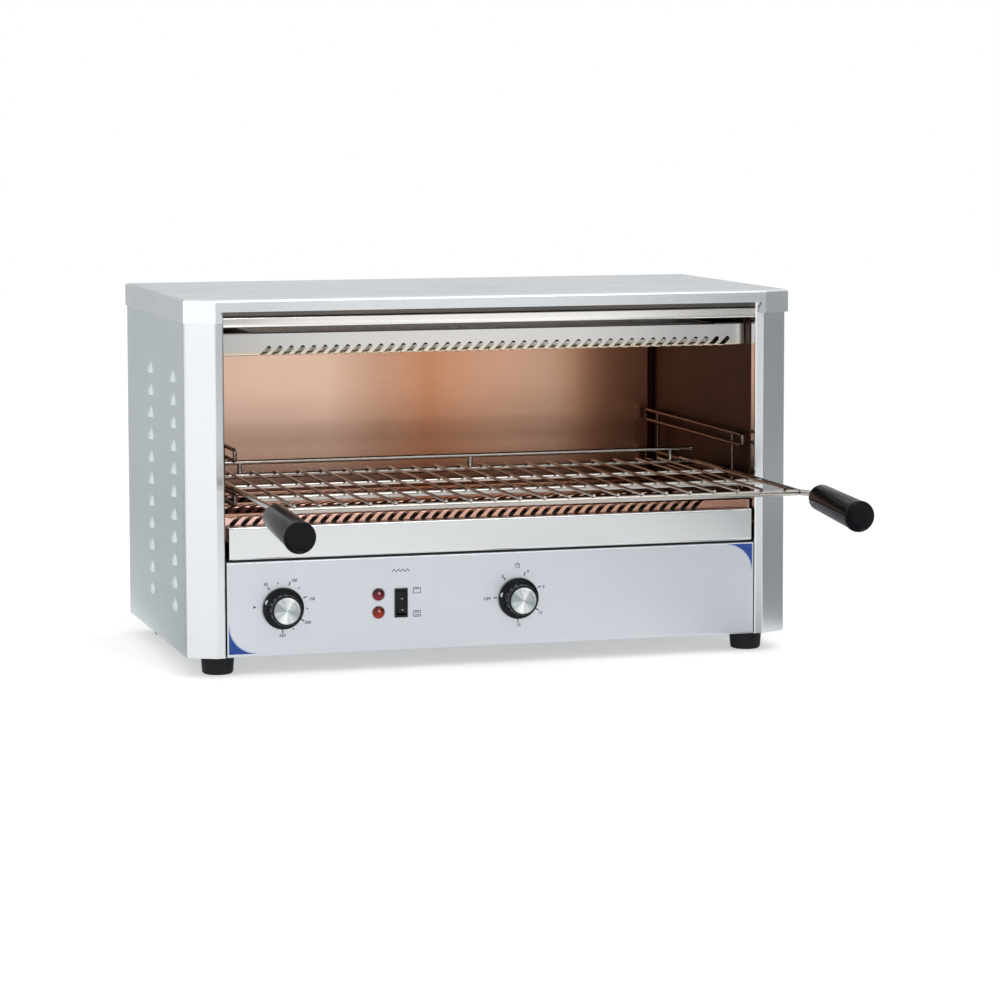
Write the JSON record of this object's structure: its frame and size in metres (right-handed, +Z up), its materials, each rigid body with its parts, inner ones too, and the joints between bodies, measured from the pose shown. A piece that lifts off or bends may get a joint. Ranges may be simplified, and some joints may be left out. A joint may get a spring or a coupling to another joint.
{
  "type": "salamander toaster",
  "caption": "Open-fronted sheet-metal salamander toaster with radiant rods over and under a draw-out wire rack, a crumb tray, knobs, pilot lamps and a rocker switch.",
  "frame": {"origin": "bottom centre of the outer box with the rack drawn out as stored, on the surface that the feet stand on", "axes": "+X to the user's right when facing the controls, +Y from the front to the back, +Z up"},
  "size_m": [0.648, 0.6578, 0.3811],
  "materials": {
    "stainless_panel": "satin brushed stainless sheet",
    "galvanised_sheet": "dull zinc-coated sheet",
    "liner_sheet": "bright sheet with a warm heat tint",
    "polished_guard": "bright polished sheet",
    "element_sheath": "dark oxidised sheath",
    "insulator_ceramic": "unglazed",
    "plated_wire": "bright plated wire",
    "black_grip": "fine matt black phenolic",
    "black_knob": "satin black",
    "knob_cap": "circular brushed",
    "control_steel": "plated steel",
    "black_switch": "glossy black",
    "red_lens": "clear red lens",
    "amber_lens": "clear orange-red lens",
    "foot_rubber": "matt black rubber"
  },
  "bodies": {
    "cabinet": {"left_post": "stainless_panel", "right_post": "stainless_panel", "left_side_panel": "stainless_panel", "right_side_panel": "stainless_panel", "back_panel": "stainless_panel", "top_cover": "stainless_panel", "upper_front_rail": "stainless_panel", "control_panel": "stainless_panel", "base_pan": "galvanised_sheet", "control_bay_shelf": "galvanised_sheet", "left_upper_bracket": "galvanised_sheet", "right_upper_bracket": "galvanised_sheet", "left_lower_bracket": "galvanised_sheet", "right_lower_bracket": "galvanised_sheet", "back_liner": "liner_sheet", "left_liner": "liner_sheet", "right_liner": "liner_sheet", "ceiling_reflector": "liner_sheet", "upper_guard_front": "polished_guard", "upper_guard_middle": "polished_guard", "upper_guard_rear": "polished_guard", "lower_guard_front": "polished_guard", "lower_guard_middle": "polished_guard", "lower_guard_rear": "polished_guard", "upper_element_front": "element_sheath", "upper_element_middle": "element_sheath", "upper_element_rear": "element_sheath", "lower_element_front": "element_sheath", "lower_element_middle": "element_sheath", "lower_element_rear": "element_sheath", "left_element_insulators": "insulator_ceramic", "right_element_insulators": "insulator_ceramic", "terminal_block": "insulator_ceramic", "left_rack_guide": "plated_wire", "right_rack_guide": "plated_wire", "thermostat_body": "control_steel", "timer_body": "control_steel", "cabinet_screws": "control_steel", "switch_housing": "black_switch", "cable_gland": "black_switch", "red_pilot_lamp": "red_lens", "amber_pilot_lamp": "amber_lens", "front_left_foot": "foot_rubber", "front_right_foot": "foot_rubber", "rear_left_foot": "foot_rubber", "rear_right_foot": "foot_rubber"},
    "rack": {"cooking_rack": "plated_wire", "rack_rear_stop": "plated_wire", "left_handle_rod": "plated_wire", "right_handle_rod": "plated_wire", "left_handle_grip": "black_grip", "right_handle_grip": "black_grip"},
    "crumb_tray": {"crumb_tray": "stainless_panel"},
    "thermostat_dial": {"thermostat_shaft": "control_steel", "thermostat_knob": "black_knob", "thermostat_knob_cap": "knob_cap"},
    "timer_dial": {"timer_shaft": "control_steel", "timer_knob": "black_knob", "timer_knob_cap": "knob_cap"},
    "rocker": {"switch_rocker": "black_switch"}
  },
  "joints": [
    {"name": "rack_slide", "type": "slide", "parent": "cabinet", "child": "rack", "axis": [0, -1, 0], "range_m": [-0.163, 0.1]},
    {"name": "crumb_tray_slide", "type": "slide", "parent": "cabinet", "child": "crumb_tray", "axis": [0, -1, 0], "range_m": [0, 0.25]},
    {"name": "thermostat_turn", "type": "hinge", "parent": "cabinet", "child": "thermostat_dial", "pos_m": [-0.2236, -0.0241, 0.0682], "axis": [0, 1, 0], "range_deg": [0, 270]},
    {"name": "timer_turn", "type": "hinge", "parent": "cabinet", "child": "timer_dial", "pos_m": [0.0238, -0.0241, 0.0682], "axis": [0, 1, 0], "range_deg": [0, 270]},
    {"name": "rocker_tip", "type": "hinge", "parent": "cabinet", "child": "rocker", "pos_m": [-0.1007, -0.0206, 0.0688], "axis": [1, 0, 0], "range_deg": [0, 18]}
  ]
}
